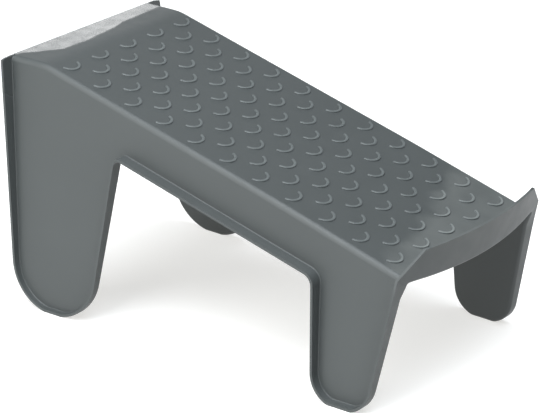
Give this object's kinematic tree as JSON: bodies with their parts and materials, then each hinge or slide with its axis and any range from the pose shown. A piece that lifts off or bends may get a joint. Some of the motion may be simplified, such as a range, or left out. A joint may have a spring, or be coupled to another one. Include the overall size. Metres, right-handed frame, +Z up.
{
  "type": "step stool",
  "caption": "Moulded plastic foot and step stool: sloping deck with raised crescent grips, level ledge at the tall end, upturned lip at the low end, flanged rounded legs.",
  "frame": {"origin": "on the floor, under the centre of the stool's bounding box", "axes": "+X towards the low end with the upturned lip, +Y across the stool, +Z up"},
  "size_m": [0.4727, 0.264, 0.2401],
  "materials": {
    "moulded_plastic": "satin moulded polypropylene, mid grey",
    "grip_plastic": "same moulding; raised crescents slightly glossier from wear"
  },
  "bodies": {
    "root": {"deck": "moulded_plastic", "grip_row_01": "grip_plastic", "grip_row_02": "grip_plastic", "grip_row_03": "grip_plastic", "grip_row_04": "grip_plastic", "grip_row_05": "grip_plastic", "grip_row_06": "grip_plastic", "grip_row_07": "grip_plastic", "grip_row_08": "grip_plastic", "grip_row_09": "grip_plastic", "grip_row_10": "grip_plastic", "grip_row_11": "grip_plastic", "grip_row_12": "grip_plastic", "grip_row_13": "grip_plastic", "grip_row_14": "grip_plastic", "grip_row_15": "grip_plastic", "grip_row_16": "grip_plastic", "grip_row_17": "grip_plastic", "grip_row_18": "grip_plastic", "grip_row_19": "grip_plastic", "grip_row_20": "grip_plastic", "grip_row_21": "grip_plastic", "ledge": "moulded_plastic", "left_long_edge": "moulded_plastic", "left_rail": "moulded_plastic", "left_rail_flange": "moulded_plastic", "left_short_foot_flange": "moulded_plastic", "left_short_front_flange": "moulded_plastic", "left_short_leg": "moulded_plastic", "left_short_rear_flange": "moulded_plastic", "left_tall_foot_flange": "moulded_plastic", "left_tall_front_flange": "moulded_plastic", "left_tall_leg": "moulded_plastic", "left_tall_rear_flange": "moulded_plastic", "lip": "moulded_plastic", "right_long_edge": "moulded_plastic", "right_rail": "moulded_plastic", "right_rail_flange": "moulded_plastic", "right_short_foot_flange": "moulded_plastic", "right_short_front_flange": "moulded_plastic", "right_short_leg": "moulded_plastic", "right_short_rear_flange": "moulded_plastic", "right_tall_foot_flange": "moulded_plastic", "right_tall_front_flange": "moulded_plastic", "right_tall_leg": "moulded_plastic", "right_tall_rear_flange": "moulded_plastic"}
  },
  "joints": []
}
